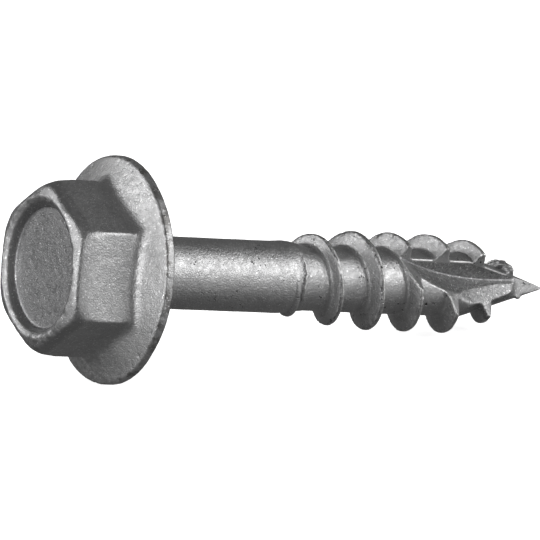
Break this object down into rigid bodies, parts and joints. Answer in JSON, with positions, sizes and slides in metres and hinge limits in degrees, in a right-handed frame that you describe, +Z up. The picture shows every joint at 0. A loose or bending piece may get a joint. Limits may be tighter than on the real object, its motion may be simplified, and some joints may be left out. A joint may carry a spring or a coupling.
{
  "type": "lag screw",
  "caption": "Hex washer-head lag screw with a smooth shank, a coarse thread and a milled self-drilling point, lying at rest.",
  "frame": {"origin": "centre of the footprint, on the ground that the screw lies on", "axes": "+X from the head towards the tip along the ground, +Y across, +Z up; the screw's own axis dips 8.9 degrees below +X towards the tip"},
  "size_m": [0.0374, 0.014, 0.0139],
  "materials": {
    "zinc_coated_steel": "matt, slightly lumpy mechanical zinc coating with fine pits and sparkle"
  },
  "bodies": {
    "root": {"lag_screw": "zinc_coated_steel"}
  },
  "joints": []
}
